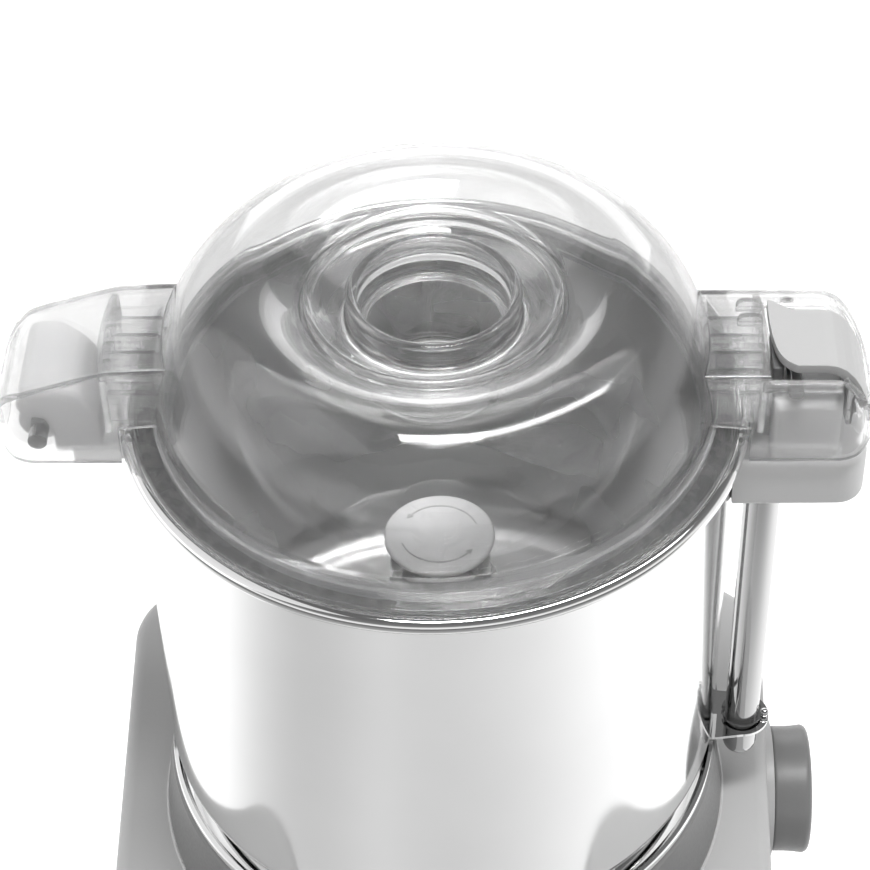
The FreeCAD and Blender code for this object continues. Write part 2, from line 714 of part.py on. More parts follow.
dome = Part.Face(Part.Wire(edges)).revolve(V(0, 0, 0), V(0, 0, 1), 360)
# the dome's outer form as a full body, to fit the wings against
full_edges = [Part.makeLine(V(0, 0, rim - 30), V(lip_radius, 0, rim - 30)),
              Part.makeLine(V(lip_radius, 0, rim - 30), V(lip_radius, 0, rim + lip_height))]
full_edges = full_edges + edges[1:4]
full_edges.append(Part.makeLine(crest_out, V(0, 0, crest_out.z)))
full_edges.append(Part.makeLine(V(0, 0, crest_out.z), V(0, 0, rim - 30)))
dome_full = Part.Face(Part.Wire(full_edges)).revolve(V(0, 0, 0), V(0, 0, 1), 360)

wing_low = rim - wing_drop
wing_high = rim + wing_top
low_round = 10.0


def wing_solid(side, inset):
    """One wing as a full block: rounded in plan and below its outer end."""
    reach = wing_reach - inset
    half = wing_half_width - inset
    low = wing_low - (1.0 if inset > 0 else 0.0)
    in_x = dome_radius - 8.0
    if side < 0:
        top_a = (in_x, wing_high - inset)
        mid_a = (wing_reach - 25.7, wing_high - 3.2 - inset)
        end_a = (wing_reach - 7.7, wing_high - 11.0 - inset)
        steps = [(mid_a[0], mid_a[1], end_a[0], end_a[1]),
                 (reach - 1.6, wing_high - 18.0 - inset),
                 (reach, wing_high - 25.0 - inset),
                 (reach, hinge_z)]
    else:
        top_a = (in_x, wing_high - inset)
        steps = [(wing_reach - lever_bend, wing_high - inset),
                 (reach - 5.0, wing_high - 4.0 - inset, reach - 1.0, wing_high - 12.0 - inset),
                 (reach, wing_high - 18.0 - inset),
                 (reach, hinge_z)]
    r = low_round - inset
    centre = (reach - r, hinge_z)
    steps.append((centre[0] + r * diag, centre[1] - r * diag, centre[0], centre[1] - r))
    steps.append((centre[0], low))
    steps.append((in_x, low))
    body = slab_y(top_a, steps, -half, half)
    plan = box(in_x - 5, reach, -half, half, low - 5, wing_high + 5)
    corner = max(wing_corner - inset, 1.0)
    plan = round_edges(plan, corner, lambda e, m: abs(m.x - reach) < 0.01 and abs(abs(m.y) - half) < 0.01)
    body = body.common(plan)
    if side < 0:
        body = body.mirror(V(0, 0, 0), V(1, 0, 0))
    return body


# nothing of a wing reaches the bowl's bead, and the wall beside the dome ends above it
clear_bead = Part.makeCylinder(wing_inner + wing_wall + 0.3, wing_drop + 40, V(0, 0, lid_low - wing_drop - 40))
for side in (-1, 1):
    shell = wing_solid(side, 0)
    hollow = wing_solid(side, wing_wall)
    keep = Part.makeCylinder(wing_inner + wing_wall, bowl_depth, V(0, 0, rim - 60))
    hollow_outer = hollow.cut(keep)
    shell = shell.cut(hollow_outer)
    # the space between the dome and the wall is open above the ribs
    trough = hollow.common(Part.makeCylinder(wing_inner, bowl_depth, V(0, 0, rim - 60)))
    trough = trough.cut(Part.makeCylinder(2 * wing_reach, 60, V(0, 0, lid_low - 60 + lip_height)))
    trough_cut = trough.fuse(box(-wing_reach, wing_reach, -wing_half_width + wing_wall, wing_half_width - wing_wall,
                                 wing_high - 6, wing_high + 10).common(
        ring(dome_radius - 10, wing_inner, rim - 10, rim + 60)).common(
        box(min(0, side * wing_reach), max(0, side * wing_reach), -wing_half_width, wing_half_width,
            rim, wing_high + 30)))
    shell = shell.cut(trough_cut)
    shell = shell.cut(clear_bead)
    shell = shell.cut(dome_full)
    # ribs across the trough
    for i in range(rib_count):
        y = (i - (rib_count - 1) / 2) * (2 * wing_half_width - 8) / (rib_count - 1)
        x_a = dome_radius - 6
        x_b = wing_inner + 1.5
        rib = box(min(side * x_a, side * x_b), max(side * x_a, side * x_b), y - rib_thickness / 2,
                  y + rib_thickness / 2, lid_low + 1, rim + 16)
        rib = rib.cut(dome_full)
        shell = shell.fuse(rib)
    if side < 0:
        left_wing = shell
    else:
        right_wing = shell
# lug inside the right wing that pushes the rod down
lug = box(wing_inner, rod_x + rod_radius, -rod_radius, rod_radius, rim + 0.4, rim + 7)
right_wing = right_wing.fuse(lug)
# opening in the right wing's top for the lever
opening_gap = 0.5
right_wing = right_wing.cut(box(lever_left - opening_gap, wing_reach + 5, lever_front - opening_gap,
                                lever_back + opening_gap,
                                rim + 8.0, wing_high + 20))
# the wall in front of the lever stays lower than the wing's top
right_wing = right_wing.cut(box(lever_left - opening_gap, wing_reach + 5, -wing_half_width - 1,
                                lever_back + opening_gap, rim + latch_pin_height + pin_cover, wing_high + 20))
# bores for the pins
pin_end = wing_half_width - 0.6
left_wing = left_wing.cut(rod_y(pin_radius + 0.02, hinge_x, hinge_z, -pin_end, pin_end))
right_wing = right_wing.cut(rod_y(latch_pin_radius + 0.02, latch_pin_x, rim + latch_pin_height, -pin_end, pin_end))
save("lid_shell", dome)
save("lid_left_wing", left_wing.removeSplitter())
save("lid_right_wing", right_wing.removeSplitter())

save("lid_seal", turn((dome_radius, rim - skirt_depth + 1.6),
                      [(inner_r - 0.3, rim - skirt_depth + 2.6),
                       (inner_r - 0.3, rim - skirt_depth + 1.6 + seal_height - 1),
                       (dome_radius, rim - skirt_depth + 1.6 + seal_height)]))
save("hinge_pin", rod_y(pin_radius, hinge_x, hinge_z, -wing_half_width + 0.6, wing_half_width - 0.6))

# feed funnel
spout_in = spout_radius - funnel_wall
flange_z = well_top
funnel = turn((spout_in, rim + spout_height - 1),
              [(spout_in, flange_z + 2.0),
               (spout_in - funnel_ledge, flange_z + 1.4),
               (funnel_low_radius - funnel_wall, rim + funnel_low_height),
               (funnel_low_radius, rim + funnel_low_height),
               (funnel_cone_radius, flange_z - 3.0),
               (funnel_cone_radius, flange_z),
               (funnel_flange_radius, flange_z),
               (funnel_flange_radius, flange_z + 2.0),
               (spout_radius + 1.0, flange_z + 2.0),
               (spout_radius - 0.4, flange_z + 3.5),
               (spout_radius - 0.4, rim + spout_height - 3),
               (spout_radius, rim + spout_height - 2),
               (spout_radius, rim + spout_height - 0.8),
               (spout_radius - 0.8, rim + spout_height),
               (spout_in + 0.8, rim + spout_height)])
save("feed_funnel", funnel)

# latch
top = wing_high + 0.4
lever = slab_y((lever_left, top - 5.0),
               [(lever_left + 1.2, top - 1.0, lever_left + 4.0, top),
                (wing_reach - lever_bend, top),
                (wing_reach - 5.0 + 0.2, top - 3.8, wing_reach - 0.2, top - 12.0),
                (wing_reach, rim + 8.6),
                (wing_reach - lever_thickness, rim + 8.6),
                (wing_reach - lever_thickness - 0.6, top - 12.5),
                (wing_reach - 8.0, top - 6.0, wing_reach - lever_bend - 1.0, top - lever_thickness),
                (lever_left + 6.0, top - lever_thickness),
                (lever_left + 3.5, top - 4.4, lever_left + 2.6, top - 6.0)],
               lever_front, lever_back)
s_cut = Part.makeCylinder(lever_cut_radius, 30, V(lever_left - 6.0, lever_front - 3.0, rim + 12.0))
lever = lever.cut(s_cut)
pin_z = rim + latch_pin_height
boss = rod_y(latch_pin_radius + 2.0, latch_pin_x, pin_z, -1.0, lever_back - 1.0)
boss = boss.fuse(box(latch_pin_x - 2.5, latch_pin_x + 2.5, -1.0, lever_back - 1.0, pin_z, top - lever_thickness + 0.5))
lever = lever.fuse(boss)
lever = lever.cut(rod_y(latch_pin_radius + running_gap, latch_pin_x, pin_z, -40, 40))
save("latch_lever", lever.removeSplitter())
save("latch_pin", rod_y(latch_pin_radius, latch_pin_x, pin_z, -wing_half_width + 0.6, wing_half_width - 0.6))

hook_x = catch_reach + hook_gap
hook = slab_y((hook_x + 1.0, top - 1.0),
              [(hook_x + 1.0, rim - 1.0),
               (hook_x, rim - 2.5),
               (hook_x, rim - hook_drop),
               (hook_x + 1.5, rim - hook_drop - 1.5),
               (hook_x + hook_thickness, rim - hook_drop - 1.5),
               (hook_x + hook_thickness, top - 1.0)],
              -hook_width / 2 - 2, hook_width / 2 - 2)
hook = hook.cut(lever)
hook_parts = sorted(hook.Solids, key=lambda s: -s.Volume)
save("latch_hook", hook_parts[0])
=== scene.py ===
"""Dresses the tabletop cutter mixer: polished bowl, clear lid, grey handles and base, in studio light."""
import math
import bpy
import bmesh
import numpy as np
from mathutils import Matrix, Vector


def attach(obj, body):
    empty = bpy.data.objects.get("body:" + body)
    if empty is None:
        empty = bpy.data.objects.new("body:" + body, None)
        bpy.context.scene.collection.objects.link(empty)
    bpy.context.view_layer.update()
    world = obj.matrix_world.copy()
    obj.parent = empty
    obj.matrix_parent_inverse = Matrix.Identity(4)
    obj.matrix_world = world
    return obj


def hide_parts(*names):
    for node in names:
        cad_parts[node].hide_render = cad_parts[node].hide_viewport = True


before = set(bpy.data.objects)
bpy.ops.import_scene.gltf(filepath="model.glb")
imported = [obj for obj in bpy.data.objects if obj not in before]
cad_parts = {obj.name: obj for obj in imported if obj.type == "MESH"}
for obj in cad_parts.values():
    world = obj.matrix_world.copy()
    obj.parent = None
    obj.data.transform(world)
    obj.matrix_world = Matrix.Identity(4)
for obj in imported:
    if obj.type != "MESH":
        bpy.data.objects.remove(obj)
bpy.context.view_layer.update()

TAU = 2 * math.pi
OPEN = 9.0  # reach of an opening that has no wall on that side

# sizes in metres as on the machine, with heights from the table
RIM = 0.422
BOWL_R, BOWL_FLOOR, SHEET = 0.095, 0.261, 0.0012
HINGE_X, HINGE_Z = -0.123, 0.419
CREST_R, CREST_Z = 0.058, 0.469
DOME_R, LID_WALL = 0.088, 0.0028
LIP_TOP = RIM + 0.0022
DOME_FOOT = LIP_TOP + 0.0015
SEAT_R, SEAT_Z = 0.0420, 0.4608
WING_HALF, WING_OUT, WING_WALL = 0.021, 0.1372, 0.0022
WING_CORNER, WING_EDGE, WING_HEEL = 0.013, 0.0020, 0.007
WEB_IN, WEB_OUT = 0.1012, 0.1033
KNOB_FACE, KNOB_BACK, KNOB_Y, KNOB_Z = 0.1357, 0.1217, 0.022, 0.194


# mesh makers
def link_object(name, mesh):
    """Object of a mesh, at the origin."""
    obj = bpy.data.objects.new(name, mesh)
    bpy.context.scene.collection.objects.link(obj)
    return obj


def smooth_faces(mesh, sharp):
    """Smooth shading with the edges over the sharp angle in degrees kept crisp."""
    mesh.polygons.foreach_set("use_smooth", np.ones(len(mesh.polygons), bool))
    mesh.set_sharp_from_angle(angle=math.radians(sharp))


def lay_mesh(name, points, faces, sharp=35):
    """Mesh from an (n, 3) array and a list of faces, with doubles merged and normals set outwards."""
    mesh = bpy.data.meshes.new(name)
    mesh.from_pydata(points.reshape(-1, 3).tolist(), [], [tuple(f) for f in faces])
    bm = bmesh.new()
    bm.from_mesh(mesh)
    bmesh.ops.remove_doubles(bm, verts=bm.verts, dist=2e-6)
    bmesh.ops.dissolve_degenerate(bm, edges=bm.edges, dist=1e-7)
    bmesh.ops.recalc_face_normals(bm, faces=bm.faces)
    bm.to_mesh(mesh)
    bm.free()
    smooth_faces(mesh, sharp)
    mesh.update()
    return link_object(name, mesh)


def grid_faces(rows, columns, wrap_rows=False, wrap_columns=True):
    """Quads between neighbouring points of a rows by columns grid, as a list of index lists."""
    i = np.arange(rows if wrap_rows else rows - 1)
    j = np.arange(columns if wrap_columns else columns - 1)
    a, b = np.meshgrid(i, j, indexing="ij")
    a2, b2 = (a + 1) % rows, (b + 1) % columns
    quads = np.stack([a * columns + b, a * columns + b2, a2 * columns + b2, a2 * columns + b], -1)
    return quads.reshape(-1, 4).tolist()


def arc(cx, cy, r, a0, a1, n=10):
    """n points on a circle of radius r about (cx, cy), from angle a0 to a1 in degrees."""
    t = np.radians(np.linspace(a0, a1, n))
    return np.stack([cx + r * np.cos(t), cy + r * np.sin(t)], -1)


def rounded_path(corners, steps=6):
    """Polyline through (x, y, radius) corners where each corner with a radius is an arc: a point at share t
    of the turn is the tangent point swung about the arc's centre by t times the turning angle."""
    pts = []
    count = len(corners)
    for k in range(count):
        here = np.array(corners[k][:2], float)
        r = corners[k][2]
        if r <= 0:
            pts.append(here[None])
            continue
        a = np.array(corners[k - 1][:2], float) - here
        b = np.array(corners[(k + 1) % count][:2], float) - here
        a /= np.linalg.norm(a)
        b /= np.linalg.norm(b)
        half = math.acos(np.clip(a @ b, -1, 1)) / 2
        if half > math.pi / 2 - 1e-3:
            pts.append(here[None])
            continue
        centre = here + (a + b) / np.linalg.norm(a + b) * r / math.sin(half)
        start = here + a * r / math.tan(half) - centre
        turn = math.pi - 2 * half
        if start[0] * (b - a)[1] - start[1] * (b - a)[0] < 0:
            turn = -turn
        t = np.linspace(0, turn, steps + 1)
        c, s = np.cos(t), np.sin(t)
        pts.append(np.stack([centre[0] + c * start[0] - s * start[1],
                             centre[1] + s * start[0] + c * start[1]], -1))
    return np.concatenate(pts)


def lathe(name, profile, steps, closed=True, axis="z", at=(0.0, 0.0, 0.0), sharp=35):
    """Surface of revolution: point (i, j) is profile point i, at radius r and height h, swung by angle
    2 pi j / steps about the axis. A closed profile makes a ring, an open one ends on the axis."""
    profile = np.asarray(profile, float)
    t = TAU * np.arange(steps) / steps
    r, h = profile[:, :1], profile[:, 1:2]
    u, v, w = r * np.cos(t), r * np.sin(t), h + 0 * t
    order = {"z": (u, v, w), "x": (w, u, v), "y": (v, w, u)}[axis]
    points = np.stack(order, -1) + np.array(at)
    return lay_mesh(name, points, grid_faces(len(profile), steps, wrap_rows=closed), sharp)


def stack(name, rows, sharp=35):
    """Closed body over stacked outlines: rows is (levels, points, 3), and the end rows are filled flat."""
    levels, n = rows.shape[:2]
    faces = grid_faces(levels, n)
    faces.append(list(range(n)))
    faces.append(list(range((levels - 1) * n, levels * n)))
    return lay_mesh(name, rows, faces, sharp)


def inset_outline(outline, distance):
    """Outline moved inwards along its own normals, which are its tangents turned by a right angle."""
    tangent = np.roll(outline, -1, 0) - np.roll(outline, 1, 0)
    length = np.linalg.norm(tangent, axis=1, keepdims=True)
    normal = np.stack([tangent[:, 1], -tangent[:, 0]], -1) / np.maximum(length, 1e-9)
    area = np.sum(outline[:, 0] * np.roll(outline[:, 1], -1) - np.roll(outline[:, 0], -1) * outline[:, 1])
    return outline - normal * distance * (1 if area > 0 else -1)


def pillow_levels(low, high, edge, steps=5):
    """(height, inset) pairs of a body whose two rims are quarter circles of radius edge."""
    t = np.linspace(0, math.pi / 2, steps + 1)
    down = [(low + edge * (1 - math.sin(a)), edge * (1 - math.cos(a))) for a in t[::-1]]
    up = [(high - edge * (1 - math.sin(a)), edge * (1 - math.cos(a))) for a in t]
    return down + up


def slab(name, corners, low, high, edge, axis="z", steps=6):
    """Plate with an outline of rounded corners, its two rims rounded by edge; axis is its thickness."""
    outline = rounded_path(corners, steps)
    rows = []
    for height, inset in pillow_levels(low, high, edge):
        ring = inset_outline(outline, inset) if inset > 0 else outline
        level = np.full(len(ring), height)
        order = {"z": (ring[:, 0], ring[:, 1], level), "y": (ring[:, 0], level, ring[:, 1]),
                 "x": (level, ring[:, 0], ring[:, 1])}[axis]
        rows.append(np.stack(order, -1))
    return stack(name, np.array(rows))


def join(name, objects):
    """One object from several finished ones."""
    bm = bmesh.new()
    for part in objects:
        bm.from_mesh(part.data)
    mesh = bpy.data.meshes.new(name)
    bm.to_mesh(mesh)
    bm.free()
    for part in objects:
        bpy.data.objects.remove(part)
    smooth_faces(mesh, 35)
    return link_object(name, mesh)


def read_faces(mesh, what):
    """Centres or normals of a mesh's faces, as an (n, 3) array."""
    values = np.empty(len(mesh.polygons) * 3)
    mesh.polygons.foreach_get(what, values)
    return values.reshape(-1, 3)


def read_points(mesh):
    """Points of a mesh, as an (n, 3) array."""
    values = np.empty(len(mesh.vertices) * 3)
    mesh.vertices.foreach_get("co", values)
    return values.reshape(-1, 3)


def write_points(mesh, points):
    """Puts an (n, 3) array of points back into a mesh."""
    mesh.vertices.foreach_set("co", points.ravel())
    mesh.update()


def cut_box(obj, low, high):
    """Cuts a box shaped opening in a skin: splits it along the box's planes and drops the faces inside."""
    bm = bmesh.new()
    bm.from_mesh(obj.data)
    for axis in range(3):
        for place in (low[axis], high[axis]):
            if abs(place) < OPEN:
                point, normal = [0, 0, 0], [0, 0, 0]
                point[axis], normal[axis] = place, 1
                bmesh.ops.bisect_plane(bm, geom=bm.verts[:] + bm.edges[:] + bm.faces[:], dist=1e-6,
                                       plane_co=point, plane_no=normal)
    inside = [f for f in bm.faces if all(low[i] < f.calc_center_median()[i] < high[i] for i in range(3))]
    bmesh.ops.delete(bm, geom=inside, context="FACES")
    bm.to_mesh(obj.data)
    bm.free()


def thicken(obj, wall, edge, angle=40, even=True):
    """Gives a skin its wall, inwards, and rounds its edges."""
    solid = obj.modifiers.new("wall", "SOLIDIFY")
    solid.thickness = wall
    solid.offset = -1
    solid.use_even_offset = even
    bevel = obj.modifiers.new("edge", "BEVEL")
    bevel.width = edge
    bevel.segments = 3
    bevel.limit_method = "ANGLE"
    bevel.angle_limit = math.radians(angle)
    bevel.harden_normals = False


# materials
def new_material(name, **values):
    """Principled material with fixed values on its own sockets, and the object coordinates ready."""
    mat = bpy.data.materials.new(name)
    mat.use_nodes = True
    nodes, links = mat.node_tree.nodes, mat.node_tree.links
    shader = nodes["Principled BSDF"]
    for key, value in values.items():
        shader.inputs[key.replace("_", " ")].default_value = value
    coords = nodes.new("ShaderNodeTexCoord")
    return mat, nodes, links, shader, coords.outputs["Object"]


def add_noise(nodes, links, coords, scale, detail, stretch=None):
    """Noise over object coordinates, stretched by a mapping where asked."""
    noise = nodes.new("ShaderNodeTexNoise")
    noise.inputs["Scale"].default_value = scale
    noise.inputs["Detail"].default_value = detail
    if stretch is not None:
        mapping = nodes.new("ShaderNodeMapping")
        mapping.inputs["Scale"].default_value = stretch
        links.new(coords, mapping.inputs["Vector"])
        coords = mapping.outputs["Vector"]
    links.new(coords, noise.inputs["Vector"])
    return noise.outputs["Fac"]


def add_range(nodes, links, value, source, target, smooth=False):
    """Maps a value from the source span to the target span, in a straight line or by a smooth step."""
    node = nodes.new("ShaderNodeMapRange")
    if smooth:
        node.interpolation_type = "SMOOTHSTEP"
    for key, number in zip(("From Min", "From Max", "To Min", "To Max"), (*source, *target)):
        node.inputs[key].default_value = number
    links.new(value, node.inputs["Value"])
    return node.outputs["Result"]


NOISE_SPAN = (0.3, 0.7)


def add_grey(nodes, links, value, dark, light, shader):
    """Greys between two levels into the base colour."""
    ramp = nodes.new("ShaderNodeValToRGB")
    for element, place, level in zip(ramp.color_ramp.elements, NOISE_SPAN, (dark, light)):
        element.position = place
        element.color = (level, level, level, 1)
    links.new(value, ramp.inputs["Fac"])
    links.new(ramp.outputs["Color"], shader.inputs["Base Color"])


def add_bump(nodes, links, value, shader, strength, distance):
    """Small relief from a value."""
    bump = nodes.new("ShaderNodeBump")
    bump.inputs["Strength"].default_value = strength
    bump.inputs["Distance"].default_value = distance
    links.new(value, bump.inputs["Height"])
    links.new(bump.outputs["Normal"], shader.inputs["Normal"])


def polished_steel(name, grey, low, high):
    """Steel with very faint drawing marks round the bowl, its roughness changing slowly from low to high."""
    mat, nodes, links, shader, coords = new_material(name, Metallic=1.0, Roughness=0.05)
    marks = add_noise(nodes, links, coords, 60.0, 4.0, (1.0, 1.0, 14.0))
    haze = add_noise(nodes, links, coords, 18.0, 2.0)
    links.new(add_range(nodes, links, haze, NOISE_SPAN, (low, high)), shader.inputs["Roughness"])
    add_grey(nodes, links, haze, grey - 0.02, grey + 0.02, shader)
    add_bump(nodes, links, marks, shader, 0.02, 0.0002)
    return mat


def clear_plastic(name, ior, alpha, milk, waves):
    """Clear moulded plastic: smooth, faintly wavy, and a little milky where light gathers in its walls."""
    mat, nodes, links, shader, coords = new_material(name, Roughness=0.01, IOR=ior, Alpha=alpha,
                                                     Transmission_Weight=1.0 - milk)
    wave = add_noise(nodes, links, coords, 22.0, 1.0)
    add_grey(nodes, links, wave, 0.965, 0.985, shader)
    add_bump(nodes, links, wave, shader, waves, 0.0004)
    return mat


def moulded(name, dark, light, rough, grain=900.0, strength=0.10):
    """Moulded plastic, paint or cast metal: fine grain in the surface and a slow change of tone."""
    mat, nodes, links, shader, coords = new_material(name, Roughness=rough)
    tone = add_noise(nodes, links, coords, 9.0, 2.0)
    fine = add_noise(nodes, links, coords, grain, 2.0)
    links.new(add_range(nodes, links, fine, NOISE_SPAN, (rough - 0.05, rough + 0.05)),
              shader.inputs["Roughness"])
    add_grey(nodes, links, tone, dark, light, shader)
    add_bump(nodes, links, fine, shader, strength, 0.0003)
    return mat


STEEL = polished_steel("polished_bowl_steel", 0.86, 0.05, 0.09)
SATIN = polished_steel("satin_bowl_steel", 0.72, 0.24, 0.32)
ROD_STEEL = polished_steel("turned_rod_steel", 0.58, 0.07, 0.13)
BLADE_STEEL = polished_steel("ground_blade_steel", 0.72, 0.16, 0.28)
CLEAR = clear_plastic("clear_lid_plastic", 1.49, 0.88, 0.03, 0.012)
CLEAR_SKIRT = clear_plastic("hazy_lid_plastic", 1.45, 0.85, 0.22, 0.01)
CLEAR_SPOUT = clear_plastic("clear_funnel_plastic", 1.46, 0.80, 0.04, 0.004)
CLEAR_WING = clear_plastic("clear_wing_plastic", 1.44, 0.70, 0.03, 0.006)
PAINT = moulded("base_grey_paint", 0.44, 0.47, 0.42, 700.0, 0.15)
LIGHT = moulded("light_grey_plastic", 0.50, 0.53, 0.38)
HANDLE = moulded("handle_grey_plastic", 0.90, 0.94, 0.40)
LEVER_GREY = moulded("lever_grey_plastic", 0.42, 0.46, 0.36)
GRIP = moulded("grip_grey_plastic", 0.70, 0.74, 0.40)
CAP_GREY = moulded("cap_grey_plastic", 0.74, 0.78, 0.42)
DARK = moulded("dark_grey_plastic", 0.10, 0.12, 0.40)
SEAT_GREY = moulded("seat_grey_plastic", 0.20, 0.23, 0.40)
MARK_GREY = moulded("mark_grey_plastic", 0.42, 0.45, 0.42)
KNOB = moulded("knob_grey_plastic", 0.20, 0.23, 0.38)
RUBBER = moulded("black_rubber", 0.025, 0.035, 0.65, 500.0, 0.25)
# seal rubber made near black: painted shade of the narrow gap under the lid's clear lip, where the seal
# shows through it
SEAL_GAP_SHADE = moulded("seal_rubber_gap_shade", 0.07, 0.09, 0.28, 300.0)
# dark grey block: painted shade of the shaded pocket beside the latch lever
POCKET_SHADE = moulded("pocket_painted_shade", 0.13, 0.16, 0.40)
CAST = moulded("cast_alloy", 0.45, 0.50, 0.45, 400.0, 0.30)
CORE = moulded("laminated_core", 0.10, 0.14, 0.50, 600.0, 0.25)


def dress(obj, mat, body, stands_for=()):
    """Gives a piece its material, its body and the solids that it stands for."""
    obj.data.materials.clear()
    obj.data.materials.append(mat)
    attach(obj, body)
    if stands_for:
        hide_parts(*stands_for)


def add_second(obj, mat, chosen):
    """Gives the chosen faces a second material; chosen holds one true or false per face."""
    obj.data.materials.append(mat)
    obj.data.polygons.foreach_set("material_index", chosen.astype(np.int32))
    obj.data.update()


# finish of the solids that stay as they are
for finish, names in (
        (PAINT, "base_housing"), (SEAT_GREY, "pedestal_ring"), (LIGHT, "knob_bezel"), (CAP_GREY, "hub_cap"),
        (STEEL, "rod_bracket"), (SEAL_GAP_SHADE, "lid_seal"), (RUBBER, "rubber_feet shaft_seal"),
        (CAST, "base_plate motor_upper_bell motor_lower_bell"), (CORE, "motor_stator motor_rotor"),
        (DARK, "switch_body interlock_switch cable_gland cooling_fan"),
        (BLADE_STEEL, "blade_hub lower_blade upper_blade"),
        (ROD_STEEL, "foot_screws upper_bearing lower_bearing drive_shaft"),
        (ROD_STEEL, "hinge_pin latch_pin safety_rod rod_clip")):
    for node_name in names.split():
        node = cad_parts[node_name]
        node.data.materials.clear()
        node.data.materials.append(finish)


# bowl
def bowl_profile():
    """Sheet of 1.2 mm: floor, corner of radius 18 mm, upright wall and a rolled bead on the rim."""
    corner_r = 0.018
    cx, cz = BOWL_R - corner_r, BOWL_FLOOR + corner_r
    bead_r, bead_x, bead_z = 0.0028, BOWL_R + 0.0015, RIM - 0.0028
    parts = [[(0.014, BOWL_FLOOR)], arc(cx, cz, corner_r, -90, 0, 16),
             [(BOWL_R, bead_z - 0.0030)], arc(bead_x, bead_z, bead_r, -118, 180, 26),
             [(BOWL_R - SHEET, bead_z - 0.0012)], arc(cx, cz, corner_r - SHEET, 0, -90, 16),
             [(0.014, BOWL_FLOOR + SHEET)]]
    return np.concatenate([np.array(p, float) for p in parts])


def inner_faces(mesh, limit, top):
    """True for the faces that look towards the axis or upwards, nearer the axis than the limit and below
    top."""
    centres, normals = read_faces(mesh, "center"), read_faces(mesh, "normal")
    outward = np.einsum("ij,ij->i", centres[:, :2], normals[:, :2])
    inside = (outward <= 1e-9) & (normals[:, 2] > -0.5) & (centres[:, 2] < top)
    return inside & (np.hypot(centres[:, 0], centres[:, 1]) < limit)


bowl = lathe("steel_bowl", bowl_profile(), 256)
dress(bowl, STEEL, "bowl", ["bowl_shell"])
add_second(bowl, SATIN, inner_faces(bowl.data, BOWL_R, RIM - 0.0040))

tube = lathe("bowl_tube", [(0.0128, BOWL_FLOOR), (0.014, BOWL_FLOOR), (0.014, 0.3262), (0.0137, 0.327),
                           (0.0131, 0.327), (0.0128, 0.3262)], 96)
dress(tube, STEEL, "bowl", ["bowl_chimney"])

foot_band = lathe("bowl_foot_band", [(0.0840, 0.2592), (0.0958, 0.2592), (0.0960, 0.2612), (0.0956, 0.2624),
                                     (0.0944, 0.2630), (0.0932, 0.2624), (0.0928, 0.2612), (0.0926, 0.2602),
                                     (0.0840, 0.2602)], 224)
dress(foot_band, STEEL, "bowl", ["bowl_foot_ring"])

seat_line = lathe("seat_edge_line", [(0.0999, 0.2290), (0.1009, 0.2290), (0.1010, 0.2295), (0.1004, 0.2300),
                                     (0.0999, 0.2299)], 224)
dress(seat_line, LIGHT, "base")


# dome of the lid
def dome_side(inset):
    """Quarter ellipse from the upright side to the crest, moved in by inset: the radius follows the cosine
    and the height the sine of the same angle."""
    t = np.linspace(0, math.pi / 2, 30)
    r = CREST_R + (DOME_R - inset - CREST_R) * np.cos(t)
    return np.stack([r, DOME_FOOT + (CREST_Z - inset - DOME_FOOT) * np.sin(t)], -1)


def dish(drop):
    """Smooth fall from the crest to the funnel's seat: a quarter cosine in height, moved down by drop."""
    t = np.linspace(0, 1, 14)
    return np.stack([CREST_R + (SEAT_R - CREST_R) * t,
                     CREST_Z - drop - (CREST_Z - SEAT_Z) * (1 - np.cos(t * math.pi / 2))], -1)


def dome_profile():
    """Flange lip, side, crest, dish and seat, then back along the inside with a wall of 2.8 mm, and the
    skirt with a small bead at its foot."""
    skirt = DOME_R + 0.0020
    return np.concatenate([
        rounded_path([(0.0958, RIM + 0.0003, 0.0005), (0.0958, LIP_TOP, 0.0009),
                      (0.0892, LIP_TOP, 0.0)], 5)[:-1],
        np.array([(0.0892, LIP_TOP), (0.0882, LIP_TOP + 0.0004)]),
        dome_side(0.0),
        dish(0.0)[1:],
        np.array([(0.0413, 0.4597), (0.0408, 0.4588), (0.0400, 0.4584), (0.0386, 0.4583),
                  (0.0381, 0.4577), (0.0381, 0.4566), (0.0387, 0.4560), (0.0402, 0.4561),
                  (0.0413, 0.4568), (0.0419, 0.4575)]),
        dish(LID_WALL)[::-1],
        dome_side(LID_WALL)[::-1][1:],
        np.array([(DOME_R - LID_WALL, RIM - 0.0090), (DOME_R + 0.0018, RIM - 0.0090), (skirt, RIM - 0.0086),
                  (skirt, RIM - 0.0078), (DOME_R, RIM - 0.0074), (DOME_R, RIM + 0.0003)])])


dome = lathe("clear_dome", dome_profile(), 256, sharp=50)
dress(dome, CLEAR, "lid", ["lid_shell"])
middles = read_faces(dome.data, "center")
add_second(dome, CLEAR_SKIRT,
           (middles[:, 2] < RIM + 0.0065) & (np.hypot(middles[:, 0], middles[:, 1]) < 0.0887))


# feed funnel
def trumpet(r0, z0, r1, z1):
    """Wall of the feed cone: the radius falls with the power 1.7 of the share of height that is left."""
    t = np.linspace(0, 1, 14)
    return np.stack([r1 + (r0 - r1) * (1 - t) ** 1.7, z0 + (z1 - z0) * t], -1)


